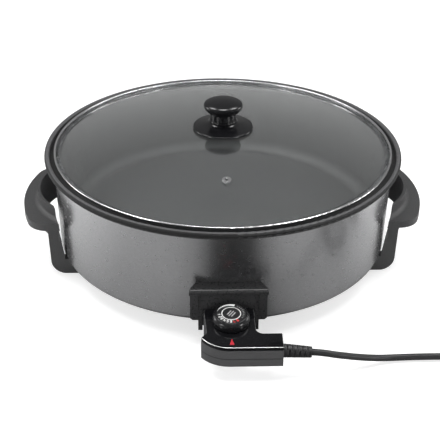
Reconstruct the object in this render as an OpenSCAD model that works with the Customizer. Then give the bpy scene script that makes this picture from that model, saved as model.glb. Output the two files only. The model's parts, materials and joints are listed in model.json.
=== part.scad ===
/* [Pan] */
// Outer diameter of the rim
rim_d = 410; // [380:1:440]
// Height of the wall, from its underside to the top of the rim
wall_h = 115; // [105:1:130]
// Space between the underside and the table
base_clear = 19; // [18:0.5:26]
// How far the rim stands out from the jacket
rim_over = 9.3; // [8.5:0.1:12]
// Width of the raised bead of the rim
bead_w = 6; // [5:0.1:6.5]
// Height of the raised bead of the rim
bead_h = 6; // [5.5:0.1:8]
// Depth of the lid's seat below the top of the rim
seat_drop = 5; // [4:0.1:5]
// Sheet thickness of the inner pan
pan_t = 3; // [2:0.1:4]
// Radius of the corner between the pan's floor and its wall
pan_corner = 14; // [8:1:24]
// How much narrower the pan is at its floor
pan_taper = 6; // [3:0.5:12]
// Sheet thickness of the jacket
jacket_t = 1.2; // [0.8:0.1:2]
// How much narrower the jacket is at its foot
jacket_taper = 3.7; // [2:0.1:6]
// Radius of the jacket's lower corner
jacket_corner = 6; // [4:0.5:10]
// Air gap between the pan and the jacket
jacket_gap = 1; // [0.6:0.1:1.5]
// Count of vent slots in the jacket's underside
vent_count = 8; // [4:1:12]
// Length of one vent slot
vent_len = 40; // [20:1:60]
// Width of one vent slot
vent_w = 6; // [4:0.5:10]
// Distance of the vent slots from the pan's axis
vent_in = 50; // [30:1:70]

/* [Heater] */
// Diameter of the tubular element
element_d = 8; // [6.5:0.1:8.5]
// Mean radius of the element's loop
element_r = 112; // [90:1:125]
// Radius of the bends that lead to the terminals
element_bend = 20; // [16:1:26]
// Diameter of the heat plate
plate_d = 272; // [262:1:300]
// Thickness of the heat plate
plate_t = 4; // [3:0.5:6]
// Height of the terminals above the pan's underside
pin_rise = 12; // [10:0.5:14]
// Half the distance between the terminal pins
pin_x = 14; // [12:0.5:15]
// Diameter of a terminal pin
pin_d = 5; // [4:0.1:5.5]
// Diameter of the ceramic bushes on the terminals
bush_d = 9; // [8:0.1:10]
// Diameter of the temperature probe
probe_d = 5; // [4:0.1:5.2]
// Depth of the probe behind the guard's back plate
probe_reach = 62; // [50:1:70]
// Outer diameter of the probe's sleeve
sleeve_d = 7.6; // [7:0.1:8]
// Thickness of a clip strap
clip_t = 1; // [0.8:0.1:1.4]
// Width of a clip strap
clip_w = 12; // [8:1:16]
// Diameter of the centre stud
stud_d = 6; // [5:0.5:8]

/* [Handles] */
// Distance from the rim to the outer edge of a grip
grip_reach = 28; // [25:0.5:40]
// Length of a grip along the pan
grip_len = 144; // [138:1:156]
// Thickness of a grip
grip_t = 8.5; // [6:0.5:12]
// Height of the grip's top above the table
grip_z = 71; // [64:1:78]
// Radius of the grip's outer edge
grip_outer_r = 160; // [150:1:190]
// Radius of the round ends of a grip
grip_end_r = 25; // [18:1:28]
// Clearance between a grip and the jacket
grip_gap = 6; // [4:0.5:8]
// Width of the grip outside the heat shield, at its middle
lip_w = 16; // [12:0.5:20]
// Radius of the heat shield's bow
shield_r = 80; // [76:1:90]
// Thickness of the heat shield
shield_t = 3.5; // [3:0.1:5]
// Height of the heat shield above the grip
shield_up = 14; // [8:0.5:20]
// Depth of the heat shield below the grip's top
shield_down = 27; // [20:0.5:32]
// Radius of the hollow corner between the grip and the heat shield
shield_fillet = 6; // [3:0.5:8]
// Thickness of a leg
leg_t = 12; // [9:0.5:14]
// Distance between the outer faces of a handle's two legs
leg_span = 124; // [118:1:126]
// Distance of a leg's outer face from the grip's outer edge
leg_set = 32; // [28:0.5:36]
// Clearance between a leg and the jacket
leg_gap = 1.5; // [1:0.1:3]
// Radius of a leg's lower outer corner
leg_corner = 17; // [8:1:17]
// How far a foot reaches under the pan
foot_reach = 24; // [20:1:30]
// Diameter of the handle screws
screw_d = 4; // [3:0.5:5]

/* [Socket] */
// Width of the guard's outer frame
guard_w = 82; // [78:1:92]
// How far the guard stands out from the jacket
guard_depth = 13.6; // [12.5:0.1:16]
// Height of the guard's top above the terminals
guard_rise = 37; // [34:0.5:42]
// Width of the guard's inner sleeve
sleeve_w = 63; // [62:0.5:66]
// Thickness of the sleeve's side walls
sleeve_wall = 4.5; // [3:0.1:4.5]
// Thickness of the guard's back plate
guard_back = 3.5; // [3:0.1:4]
// Diameter of the guard's screws
guard_screw_d = 3; // [2.5:0.1:3.5]

/* [Lid] */
// Gap between the steel band and the bead of the rim
band_gap = 4.7; // [3.5:0.1:6]
// Height of the steel band
band_h = 6.3; // [5:0.1:8]
// Sheet thickness of the steel band
band_t = 1; // [0.8:0.1:1.2]
// Width of the steel band's rolled edge
band_w = 2.4; // [2:0.1:3]
// Thickness of the glass
glass_t = 3; // [2.5:0.1:4]
// Rise of the glass dome
dome_h = 24.5; // [18:0.5:28]
// Width of the flat edge of the glass
glass_edge = 5.5; // [5:0.5:12]
// Gap between the lid and its seat
lid_gap = 0.3; // [0.2:0.05:0.5]
// Diameter of the disc under the knob
disc_d = 69; // [60:1:80]
// Thickness of that disc at its edge
disc_t = 1.2; // [1:0.1:2]
// Rise of that disc at the knob
disc_rise = 5.4; // [4:0.2:8]
// Diameter of the knob's head
knob_d = 44.8; // [40:0.2:50]
// Diameter of the knob's neck
neck_d = 29.4; // [26:0.2:34]
// Height of the knob above its disc
knob_h = 26.8; // [24:0.2:32]
// Rise of the knob's top above its widest place
knob_crown = 6.5; // [4:0.5:9]
// Depth of the knob's round underside below its widest place
knob_under = 13; // [10:0.5:16]
// Diameter of the knob's screw
knob_screw_d = 5; // [4:0.5:6]
// Distance of the steam vent from the lid's axis
vent_at = 116; // [100:1:140]
// Bore of the steam vent
vent_bore = 4; // [3:0.2:5]
// Diameter of the steam vent's collar
vent_collar = 10; // [9:0.2:12]

/* [Thermostat] */
// Distance from the guard to the front of the thermostat
plug_len = 62; // [58:0.5:70]
// Width of the thermostat's rear part
plug_w = 52; // [50:0.5:54]
// How far the arm reaches to the right
arm_x = 52.4; // [48:0.2:60]
// Width of the arm
arm_w = 21.6; // [20:0.2:26]
// Height of the thermostat's front
plug_h = 23; // [21:0.5:26]
// Slope of the deck, in degrees
deck_tilt = 5.5; // [3:0.5:8]
// Radius of the round front corner
plug_corner = 34; // [30:0.5:38]
// Depth of the round front corner behind the front
corner_back = 16; // [12:0.5:20]
// How far the front stands out to the left of the rear part
plug_bulge = 3.4; // [2:0.1:5]
// Radius of the hollow corner beside the arm
arm_fillet = 8; // [5:0.5:8]
// Wall thickness of the thermostat's casing
case_t = 2.2; // [1.8:0.1:2.6]
// Thickness of the gloss cover
cover_t = 4; // [3:0.5:5]
// Height of the lower case
lower_h = 9; // [8:0.5:9.5]
// Gap between the thermostat and the guard
plug_gap = 0.8; // [0.5:0.1:1.5]
// Diameter of the dial's skirt
dial_d = 39; // [34:0.5:40]
// Diameter of the dial's face
dial_face = 33; // [28:0.5:34]
// Height of the dial
dial_h = 10; // [8:0.5:14]
// Distance of the dial's axis behind the front edge
dial_back = 41; // [40:0.5:42]
// Offset of the dial's axis to the right
dial_x = 1.6; // [0:0.1:3]
// Offset of the pilot lens to the right
lens_x = 1.3; // [0:0.1:3]
// Diameter of the dial's spindle
spindle_d = 6; // [5:0.1:6.5]
// Running clearance of turning and sliding pieces
run = 0.3; // [0.2:0.05:0.4]

/* [Cord] */
// Diameter of the cord
cord_d = 7; // [6:0.1:7]
// Length of the strain relief outside the case
relief_len = 29; // [24:1:40]
// Diameter of the strain relief at the case
relief_d = 14; // [12:0.5:15]
// Radius of the coil at its outer turn
coil_r = 45; // [45:0.5:50]
// Gap between neighbouring turns of the coil
turn_gap = 0.6; // [0.5:0.1:1]
// Thickness of the tie round the coil
tie_t = 0.8; // [0.6:0.1:1]
// Width of the tie
tie_w = 8; // [6:1:12]
// Diameter of the mains plug's face
mains_d = 37; // [36:0.5:39]
// Length of the mains plug's body
mains_len = 34; // [32:1:40]

/* [Hidden] */
$fn = 64;
eps = 0.01;

// Heights of the pan, from the table up
rim_z = base_clear + wall_h;
seat_z = rim_z - seat_drop;
jacket_top = seat_z - pan_t;
pin_z = base_clear + pin_rise;
plate_z = pin_z + element_d / 2 + 0.1;
floor_z = plate_z + plate_t;

// Radii of the pan
rim_r = rim_d / 2;
jacket_top_r = rim_r - rim_over;
jacket_low_r = jacket_top_r - jacket_taper;
pan_top_r = jacket_top_r - jacket_t - jacket_gap - pan_t;
pan_low_r = pan_top_r - pan_taper;
bead_in_r = rim_r - bead_w;
function jacket_r(z) = jacket_low_r + jacket_taper * (z - base_clear - jacket_corner)
    / (jacket_top - base_clear - jacket_corner);

// Heater and terminals, with y measured towards the front
tail_x = pin_x;
tail_y = sqrt(pow(element_r + element_bend, 2) - pow(tail_x + element_bend, 2));
tail_turn = asin((tail_x + element_bend) / (element_r + element_bend));
joint_over = 0.1;
wall_y = jacket_r(pin_z);
back_y = wall_y + guard_back;
guard_y = wall_y + guard_depth;
bush_y = wall_y - jacket_t - 7;
bush_end = back_y + 1.5;
pin_end = back_y + 18;
probe_tip = back_y - probe_reach;
clip_r = element_d / 2 + 0.2;
window_in = 12;
window_h = 14;
clip_angles = [30, 150, 210, 330];
stud_low = base_clear - 7;
nut_h = 4;
washer_t = 1.2;

// Handles, in a frame whose x points away from the pan
grip_out = rim_r + grip_reach;
grip_cx = grip_out - grip_outer_r;
half_len = grip_len / 2;
end_y = half_len - grip_end_r;
end_x = grip_cx + sqrt(pow(grip_outer_r - grip_end_r, 2) - pow(end_y, 2));
strip_y = end_y * grip_outer_r / (grip_outer_r - grip_end_r);
shield_cx = grip_out - lip_w - shield_t - shield_r;
grip_in = jacket_low_r - leg_span / 4;
leg_y = leg_span / 2 - leg_t / 2;
leg_out = grip_out - leg_set;
leg_top = grip_z - grip_t;
leg_lean = 1.5;
leg_in_top = leg_out - 12;
leg_in_low = leg_out - 17;
foot_in = sqrt(pow(jacket_low_r - jacket_corner, 2) - pow(leg_y, 2)) - foot_reach;
foot_screw_x = foot_in + 8;
head_d = screw_d * 2;
head_h = 3;
foot_web = 5;
nut_af = screw_d * 1.8;

// Guard, with y measured towards the front
guard_top = pin_z + guard_rise;
guard_low = pin_z;
lip_low = pin_z + 13;
sleeve_low = pin_z - 13;
lip_top = guard_top - 7;
sleeve_y = guard_y - 1.5;
sleeve_in = sleeve_w / 2 - sleeve_wall;
roof_slope = 2.7;
guard_screw_x = pin_x + bush_d / 2 + 5.5;
roof_t = 4;
panel_t = 2.5;
post_set = 1;
panel_lean = 3;

// Lid
band_r = bead_in_r - band_gap;
band_low = seat_z + lid_gap;
glass_z = band_low + band_t;
glass_r = band_r - band_w - 0.2;
dome_a = glass_r - glass_edge;
dome_r = (dome_a * dome_a + dome_h * dome_h) / (2 * dome_h);
dome_top = glass_z + glass_t + dome_h;
dome_zc = dome_top - dome_r;
vent_tilt = asin(vent_at / dome_r);
disc_z = dome_top + 0.1;
knob_z = disc_z + disc_t + disc_rise;
insert_d = knob_screw_d + 4;
insert_h = 14;
washer_d = 22;
gasket_t = 1.5;
glass_low = dome_top - glass_t;

// Thermostat, with y measured towards the front
plug_back = guard_y + plug_gap;
plug_y = guard_y + plug_len;
plug_low = sleeve_low;
deck_z = plug_low + plug_h;
seam_z = plug_low + lower_h;
plug_left = -plug_w / 2;
plug_right = plug_w / 2;
plug_waist = 2;
flare_len = 7;
corner_cx = plug_left - plug_bulge + sqrt(pow(plug_corner, 2) - pow(plug_corner - corner_back, 2));
corner_cy = plug_y - plug_corner;
arm_y = plug_y - arm_w;
cord_y = plug_y - arm_w / 2;
cord_z = plug_low + plug_h / 2;
rear_r = 6;
nose_w = 47;
nose_h = 21;
nose_y = back_y + 2.6;
block_end = plug_back + 14;
receptacle_d = pin_d + 3;
lens_back = 9.5;
lens_w = 4.8;
lens_len = 9;
post_in = 3.6;
post_step = 22;
post_side = 9;
case_posts = [
    [plug_left + plug_waist + post_in, plug_y - post_step], [arm_x - post_side, plug_y - post_in],
    [plug_right - post_in, plug_back + post_step]
];
post_d = 6;
case_screw_d = 2.4;
clamp_in = 22;
clamp_len = 9;
frame_t = 1.2;
frame_z = pin_z + receptacle_d / 2 + 0.6;
leaf_x = 8;
leaf_y = block_end + 5;
leaf_w = 6;
leaf_t = 0.5;
leaf_len = 24;
spacer_t = 2;
leaf_z = frame_z - spacer_t;
dial_y = plug_y - dial_back * cos(deck_tilt);
dial_z = deck_z + dial_back * sin(deck_tilt);
dial_low = 0.4;
dial_disc_t = 0.6;
spindle_low = (dial_z - pin_z - probe_d / 2 - 1) / cos(deck_tilt);

// Cord route, in the part's frame: points chosen by hand between the strain relief and the coil
relief_droop = 5;
cord_route = [
    [96, -257, 25.2], [107, -256.3, 22.6], [118, -253, 18.5], [130, -249, 14], [143, -244.5, 9.5],
    [156, -241, 6.4], [170, -238.5, 4.8], [186, -237.3, 4.4], [204, -237, 4.4], [222, -237, 4.4],
    [240, -237, 4.4], [258, -237, 4.4]
];
cord_sides = 10;
coil_at = [284, -192];
coil_low = 0.9;
coil_turns = 1.875;
coil_rings = 24;
coil_sides = 6;
coil_pitch = cord_d + turn_gap;
coil_total = 2 * coil_turns + 0.5;
coil_z1 = coil_low + cord_d / 2;
coil_z2 = coil_z1 + coil_pitch;
mains_tilt = 6.5;
mains_boot = 24;
mains_neck = 12;
mains_shoulder = 18;
mains_collar = 22;

function coil_radius(t) = coil_r - coil_pitch * (t < coil_turns + 0.25 ? t : coil_total - t);
function coil_height(t) = t < coil_turns ? coil_z1
    : t > coil_turns + 0.5 ? coil_z2
    : coil_z1 + coil_pitch * (t - coil_turns) / 0.5;
function coil_point(t) = [
    coil_at.x + coil_radius(t) * cos(360 * t - 90),
    coil_at.y + coil_radius(t) * sin(360 * t - 90),
    coil_height(t)
];
coil_start = [coil_at.x - cord_d, coil_at.y - coil_r, coil_z1];
tail_step = cord_d;
tail_bend = [for (k = [1:3]) [0, cos(mains_tilt * k / 3), sin(mains_tilt * k / 3)] * tail_step];
tail_0 = coil_point(coil_total);
tail_1 = tail_0 + tail_bend[0];
tail_2 = tail_1 + tail_bend[1];
tail_3 = tail_2 + tail_bend[2];
coil_end = tail_3 + tail_bend[2];
coil_path = concat(
    [coil_start],
    [for (k = [0:coil_rings * coil_total]) coil_point(k / coil_rings)],
    [tail_1, tail_2, tail_3, coil_end]
);
coil_far = coil_rings / 2;
coil_space = min([
    for (i = [0:len(coil_path) - 1])
        for (j = [i + coil_far:1:len(coil_path) - 1])
            norm(coil_path[i] - coil_path[j])
]) - cord_d;
echo(least_gap_in_coil = coil_space);

relief_at = [arm_x, -cord_y, cord_z];
relief_dir = [cos(relief_droop), 0, -sin(relief_droop)];
relief_end = relief_at + relief_len * relief_dir;
cord_path = concat([relief_end, relief_end + cord_d * relief_dir], cord_route, [coil_start]);

// Swept tube: a ring of points square to the path at every point of it
function unit(v) = v / norm(v);
function heading(path, i) = unit(path[min(i + 1, len(path) - 1)] - path[max(i - 1, 0)]);
function tube_ring(p, dir, r, sides) =
    let (side = unit(cross(dir, [0, 0, 1])), up = cross(side, dir))
    [for (k = [0:sides - 1]) let (a = 360 * (k + 0.5) / sides) p + r * (cos(a) * side + sin(a) * up)];

module tube(path, r, sides) {
    last = len(path) - 1;
    points = [for (i = [0:last]) each tube_ring(path[i], heading(path, i), r, sides)];
    walls = [
        for (i = [0:last - 1])
            for (k = [0:sides - 1])
                let (a = i * sides + k, b = i * sides + (k + 1) % sides)
                each [[a, b, a + sides], [b, b + sides, a + sides]]
    ];
    start_cap = [for (k = [1:sides - 2]) [0, k + 1, k]];
    end_cap = [for (k = [1:sides - 2]) [last * sides, last * sides + k, last * sides + k + 1]];
    polyhedron(points, concat(walls, start_cap, end_cap));
}

// Shapes that repeat
module to_front() {
    mirror([0, 1, 0]) children();
}

module rod_y(x, z, y0, y1, d) {
    translate([x, y0, z]) rotate([-90, 0, 0]) cylinder(d = d, h = y1 - y0);
}

module both_sides() {
    children();
    mirror([1, 0, 0]) children();
}

module bowl_section(r_low, r_top, z_low, z_top, corner) {
    polygon([[0, z_low + corner], [r_low, z_low + corner], [r_top, z_top], [0, z_top]]);
    translate([0, z_low]) square([r_low - corner, corner + eps]);
    translate([r_low - corner, z_low + corner]) circle(r = corner);
}

module round_rect(x0, y0, x1, y1, r) {
    translate([x0 + r, y0]) square([x1 - x0 - 2 * r, y1 - y0]);
    translate([x0, y0 + r]) square([x1 - x0, y1 - y0 - 2 * r]);
    for (x = [x0 + r, x1 - r])
        for (y = [y0 + r, y1 - r])
            translate([x, y]) circle(r = r);
}

module pan_screw(d, length) {
    cylinder(d = 2 * d, h = head_h);
    translate([0, 0, head_h - eps]) cylinder(d = d, h = length + eps);
}

// Pan and heater
module inner_pan() {
    color("dimgray") rotate_extrude($fn = 180) difference() {
        union() {
            bowl_section(pan_low_r + pan_t, pan_top_r + pan_t, floor_z, seat_z, pan_corner + pan_t);
            translate([pan_top_r, seat_z - pan_t]) square([bead_in_r - pan_top_r + bead_w / 2, pan_t]);
            round_rect(bead_in_r, rim_z - bead_h, rim_r, rim_z, 2.4);
        }
        bowl_section(pan_low_r, pan_top_r, floor_z + pan_t, seat_z + 1, pan_corner);
    }
}

module outer_jacket() {
    inner_low = jacket_low_r - jacket_t;
    color("gray") difference() {
        rotate_extrude($fn = 180) difference() {
            bowl_section(jacket_low_r, jacket_top_r, base_clear, jacket_top, jacket_corner);
            bowl_section(inner_low, jacket_top_r - jacket_t, base_clear + jacket_t, jacket_top + 1,
                jacket_corner - jacket_t);
        }
        to_front() translate([-pin_x - bush_d, wall_y - window_in, pin_z - window_h / 2])
            cube([2 * (pin_x + bush_d), 2 * window_in, window_h]);
        translate([0, 0, base_clear - 1]) cylinder(d = stud_d + 0.6, h = jacket_t + 2);
        for (k = [0:vent_count - 1])
            rotate(360 * (k + 0.5) / vent_count)
                translate([0, 0, base_clear - 1]) linear_extrude(jacket_t + 2)
                    round_rect(vent_in, -vent_w / 2, vent_in + vent_len, vent_w / 2, vent_w / 2 - eps);
        foot_screw_places() cylinder(d = screw_d + 0.4, h = base_clear + 10);
        to_front() both_sides() rod_y(guard_screw_x, pin_z, wall_y - 12, wall_y + 5, guard_screw_d + 0.2);
    }
}

module heat_plate() {
    color("silver") translate([0, 0, plate_z]) difference() {
        cylinder(d = plate_d, h = plate_t);
        translate([0, 0, -1]) cylinder(d = stud_d + 0.6, h = plate_t + 2);
    }
}

module element_section() {
    circle(d = element_d);
}

module heating_element() {
    color("darkslategray") to_front() translate([0, 0, pin_z]) {
        rotate(90 + tail_turn) rotate_extrude(angle = 360 - 2 * tail_turn, $fn = 96)
            translate([element_r, 0]) element_section();
        both_sides() {
            translate([tail_x + element_bend, tail_y, 0]) rotate(180)
                rotate_extrude(angle = 90 - tail_turn, $fn = 96)
                    translate([element_bend, 0]) element_section();
            rod_y(tail_x, 0, tail_y, bush_y, element_d);
            translate([tail_x, tail_y, 0]) sphere(d = element_d + joint_over);
            translate([element_r * sin(tail_turn), element_r * cos(tail_turn), 0])
                sphere(d = element_d + joint_over);
        }
    }
}

module element_clips() {
    color("lightgray") for (a = clip_angles) rotate(a) translate([element_r, clip_w / 2, pin_z])
        rotate([90, 0, 0]) linear_extrude(clip_w) difference() {
            union() {
                circle(r = clip_r + clip_t);
                translate([-clip_r - clip_t, 0]) square([2 * (clip_r + clip_t), plate_z - pin_z]);
                for (s = [-1, 1])
                    translate([s * (clip_r + 5) - 5, plate_z - pin_z - clip_t]) square([10, clip_t]);
            }
            circle(r = clip_r);
            translate([-clip_r, 0]) square([2 * clip_r, element_d]);
        }
}

module terminal_pins() {
    color("goldenrod") to_front() both_sides() {
        rod_y(pin_x, pin_z, bush_y, pin_end - pin_d / 2, pin_d);
        translate([pin_x, pin_end - pin_d / 2, pin_z]) sphere(d = pin_d);
    }
}

module terminal_bushes() {
    color("ivory") to_front() both_sides() difference() {
        rod_y(pin_x, pin_z, bush_y, bush_end, bush_d);
        rod_y(pin_x, pin_z, bush_y - 1, bush_end + 1, pin_d + 0.1);
    }
}

module probe_sleeve() {
    color("silver") to_front() difference() {
        rod_y(0, plate_z - sleeve_d / 2 - 0.1, probe_tip - 6, back_y - 0.5, sleeve_d);
        rod_y(0, pin_z, probe_tip - 2, back_y, probe_d + 2 * run);
    }
}

module center_stud() {
    color("silver") translate([0, 0, stud_low]) cylinder(d = stud_d, h = floor_z - stud_low);
}

module center_nut() {
    color("silver") difference() {
        union() {
            translate([0, 0, base_clear - washer_t]) cylinder(d = stud_d * 2.6, h = washer_t);
            translate([0, 0, base_clear - washer_t - nut_h])
                cylinder(d = stud_d * 1.9, h = nut_h + eps, $fn = 6);
        }
        translate([0, 0, stud_low - 1]) cylinder(d = stud_d + 0.05, h = base_clear);
    }
}

// Guard round the terminals
module guard_side_section() {
    nose_r = (guard_top - lip_top) / 2;
    polygon([
        [wall_y - 9, sleeve_low], [sleeve_y, sleeve_low], [sleeve_y, guard_low],
        [guard_y - post_set, guard_low], [guard_y - post_set, guard_top - nose_r],
        [guard_y - nose_r, guard_top], [wall_y - 9, guard_top + roof_slope]
    ]);
    translate([guard_y - nose_r, guard_top - nose_r]) circle(r = nose_r);
}

module guard_front_section() {
    half = guard_w / 2;
    post_half = half - post_set;
    chamfer = 2.5;
    top = guard_top + roof_slope;
    polygon([
        [chamfer - post_half, guard_low], [post_half - chamfer, guard_low], [post_half, guard_low + chamfer],
        [post_half, lip_top], [half, lip_top], [half, top - 2 * chamfer], [half - chamfer, top],
        [chamfer - half, top], [-half, top - 2 * chamfer], [-half, lip_top], [-post_half, lip_top],
        [-post_half, guard_low + chamfer]
    ]);
    translate([-sleeve_w / 2, sleeve_low]) square([sleeve_w, lip_top - sleeve_low]);
}

module guard_plan() {
    half = guard_w / 2;
    cut = 7;
    polygon([
        [-half, guard_y + 1], [half, guard_y + 1], [half, guard_y - 3], [half - cut, wall_y],
        [half - cut, wall_y - 9], [cut - half, wall_y - 9], [cut - half, wall_y], [-half, guard_y - 3]
    ]);
}

module socket_guard() {
    color([0.09, 0.09, 0.1]) to_front() difference() {
        intersection() {
            translate([-guard_w, 0, 0]) rotate([90, 0, 90]) linear_extrude(2 * guard_w) guard_side_section();
            translate([0, guard_y + 1, 0]) rotate([90, 0, 0])
                linear_extrude(guard_depth + 15) guard_front_section();
            linear_extrude(guard_top + 10) guard_plan();
        }
        // mouth for the thermostat, open below
        translate([-sleeve_in, back_y, sleeve_low - 1])
            cube([2 * sleeve_in, guard_depth, lip_low - sleeve_low + 1]);
        // space behind the lip
        translate([-sleeve_in, back_y, lip_low - 1])
            cube([2 * sleeve_in, sleeve_y - back_y - panel_t - panel_lean, lip_top - roof_t - lip_low + 1]);
        // recess below the frame's lip, with the panel under it leaning back
        translate([-sleeve_w / 2, 0, 0]) rotate([90, 0, 90]) linear_extrude(sleeve_w) polygon([
            [sleeve_y, guard_low - 1], [guard_y + 1, guard_low - 1], [guard_y + 1, lip_top],
            [sleeve_y - panel_lean, lip_top], [sleeve_y, lip_low]
        ]);
        guard_wall_clearance();
        both_sides() {
            rod_y(pin_x, pin_z, wall_y - 12, back_y + 1, bush_d + 0.3);
            rod_y(guard_screw_x, pin_z, wall_y - 12, back_y + 1, guard_screw_d + 0.4);
        }
        rod_y(0, pin_z, wall_y - 12, back_y + 1, sleeve_d + 0.8);
    }
}

module guard_wall_clearance() {
    translate([0, 0, base_clear - 5]) cylinder(r = jacket_low_r + 0.1, h = 5 + jacket_corner, $fn = 180);
    translate([0, 0, base_clear + jacket_corner - eps])
        cylinder(r1 = jacket_low_r + 0.1, r2 = jacket_top_r + 0.1,
            h = jacket_top - base_clear - jacket_corner, $fn = 180);
}

module guard_screws() {
    color("silver") to_front() both_sides() {
        rod_y(guard_screw_x, pin_z, back_y, back_y + 1.8, guard_screw_d * 1.9);
        rod_y(guard_screw_x, pin_z, wall_y - 6, back_y + eps, guard_screw_d);
    }
}

// Handles
module grip_plan() {
    intersection() {
        translate([grip_cx, 0]) circle(r = grip_outer_r, $fn = 128);
        translate([grip_in, -strip_y]) square([rim_r, 2 * strip_y]);
    }
    for (s = [-1, 1]) translate([end_x, s * end_y]) circle(r = grip_end_r);
    translate([grip_in, -half_len]) square([end_x - grip_in, grip_len]);
}

// Section of the shield; its hollow corner is just steeper than tangent, to meet both faces cleanly
module shield_section() {
    outside = shield_r + shield_t;
    translate([shield_r, -shield_down]) square([shield_t, shield_down + shield_up]);
    difference() {
        translate([outside - 0.5, -0.5]) square(shield_fillet + 0.5);
        translate([outside + shield_fillet, shield_fillet]) circle(r = shield_fillet * 1.015);
    }
}

module leg_profile() {
    bottom_out = leg_out - leg_lean;
    polygon([
        [leg_in_top, leg_top + eps], [leg_in_low, base_clear + 10], [leg_in_low, base_clear],
        [foot_in, base_clear], [foot_in, 0], [bottom_out - leg_corner, 0],
        [bottom_out - leg_corner, leg_corner], [bottom_out, leg_corner], [leg_out, leg_top + eps]
    ]);
    translate([bottom_out - leg_corner, leg_corner]) circle(r = leg_corner);
}

module handle() {
    difference() {
        union() {
            translate([0, 0, leg_top]) linear_extrude(grip_t) difference() {
                grip_plan();
                translate([shield_cx, 0]) circle(r = shield_r + shield_t / 2, $fn = 128);
            }
            intersection() {
                translate([shield_cx, 0, grip_z]) rotate(180) rotate_extrude($fn = 128) shield_section();
                translate([grip_in, -half_len, 0]) cube([rim_r, grip_len, rim_z]);
            }
            for (s = [-1, 1])
                translate([0, s * leg_y + leg_t / 2, 0]) rotate([90, 0, 0])
                    linear_extrude(leg_t) leg_profile();
        }
        rotate(180) handle_wall_clearance();
        for (s = [-1, 1]) translate([foot_screw_x, s * leg_y, -1]) {
            cylinder(d = head_d + 0.6, h = base_clear - foot_web + 1);
            cylinder(d = screw_d + 0.4, h = base_clear + 2);
        }
    }
}

// Space kept free round the jacket, narrow at the feet and wide at the grip
module handle_wall_clearance() {
    low = base_clear + jacket_corner;
    low_r = jacket_low_r + leg_gap;
    bend_z = leg_top + grip_t / 2;
    rotate_extrude($fn = 180) polygon([
        [0, base_clear], [low_r, base_clear], [low_r, low], [jacket_r(bend_z) + grip_gap, bend_z],
        [jacket_top_r + grip_gap, jacket_top], [0, jacket_top]
    ]);
}

module right_handle() {
    color([0.17, 0.17, 0.18]) handle();
}

module left_handle() {
    color([0.17, 0.17, 0.18]) mirror([1, 0, 0]) handle();
}

module foot_screw_places() {
    both_sides() for (s = [-1, 1]) translate([foot_screw_x, s * leg_y, 0]) children();
}

module handle_screws() {
    color("silver") foot_screw_places() translate([0, 0, base_clear - foot_web - head_h])
        pan_screw(screw_d, foot_web + jacket_t + 4.4);
}

module handle_nuts() {
    color("silver") foot_screw_places() translate([0, 0, base_clear + jacket_t]) difference() {
        cylinder(d = nut_af / cos(30), h = 3.2, $fn = 6);
        translate([0, 0, -1]) cylinder(d = screw_d + 0.05, h = 6);
    }
}

// Lid
module glass_section() {
    intersection() {
        difference() {
            translate([0, dome_zc]) circle(r = dome_r, $fn = 360);
            translate([0, dome_zc]) circle(r = dome_r - glass_t, $fn = 360);
        }
        translate([0, glass_z - glass_t]) square([dome_a, dome_h + 3 * glass_t]);
    }
    translate([dome_a - eps, glass_z]) square([glass_edge, glass_t]);
}

module vent_frame() {
    to_front() translate([0, 0, dome_zc]) rotate([-vent_tilt, 0, 0]) translate([0, 0, dome_r]) children();
}

module lid_glass() {
    color([0.75, 0.8, 0.82, 0.4]) difference() {
        rotate_extrude($fn = 180) glass_section();
        translate([0, 0, glass_low - 5]) cylinder(d = knob_screw_d + 2, h = glass_t + 10);
        vent_frame() translate([0, 0, -2 * glass_t]) cylinder(d = vent_bore + 2, h = 3 * glass_t);
    }
}

module lid_band() {
    edge = band_w / 2 - 0.2;
    color("lightgray") rotate_extrude($fn = 180) {
        translate([dome_a + 1, band_low]) square([band_r - dome_a - 1, band_t]);
        translate([band_r - band_w, band_low]) square([band_w, band_h - edge]);
        translate([band_r - band_w + edge, band_low]) square([band_w - 2 * edge, band_h]);
        for (r = [band_r - band_w + edge, band_r - edge])
            translate([r, band_low + band_h - edge]) circle(r = edge);
    }
}

module vent_eyelet() {
    wall = 0.9;
    color("lightgray") vent_frame() rotate_extrude($fn = 48) difference() {
        union() {
            translate([0, -glass_t - 1.2]) square([vent_bore / 2 + wall, glass_t + 2.4]);
            translate([0, 0.1]) square([vent_collar / 2, 1.1]);
            translate([0, -glass_t - 1.2]) square([vent_collar / 2 - 0.6, 1.1]);
        }
        translate([-eps, -2 * glass_t]) square([vent_bore / 2, 4 * glass_t]);
    }
}

module knob_disc() {
    edge_r = disc_d / 2;
    neck_r = neck_d / 2;
    top = disc_z + disc_t;
    color([0.06, 0.06, 0.07]) rotate_extrude($fn = 128) difference() {
        polygon([
            [0, disc_z - 2], [edge_r - 0.8, disc_z - 2], [edge_r, disc_z - 0.2], [edge_r, top - 0.6],
            [edge_r - 0.9, top], [neck_r + 6, top + disc_rise * 0.5], [neck_r + 2.6, top + disc_rise * 0.75],
            [neck_r + 1, knob_z], [0, knob_z]
        ]);
        translate([0, dome_zc]) circle(r = dome_r + 0.1, $fn = 1440);
        translate([-eps, disc_z - 3]) square([knob_screw_d / 2 + 0.2, knob_z]);
    }
}

module lid_knob() {
    head_r = knob_d / 2;
    neck_r = neck_d / 2;
    widest = knob_z + knob_h - knob_crown;
    ring_r = 1.2;
    color([0.05, 0.05, 0.06]) difference() {
        rotate_extrude($fn = 128) {
            translate([0, knob_z]) square([neck_r, widest - knob_z]);
            translate([neck_r - 0.3, knob_z + ring_r + 0.2]) circle(r = ring_r);
            polygon(concat(
                [[0, widest - knob_under]],
                [for (a = [-84:6:84]) [head_r * cos(a), widest + (a < 0 ? knob_under : knob_crown) * sin(a)]],
                [[0, widest + knob_crown]]
            ));
        }
        translate([0, 0, knob_z - 1]) cylinder(d = insert_d, h = insert_h + 1);
    }
}

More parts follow.
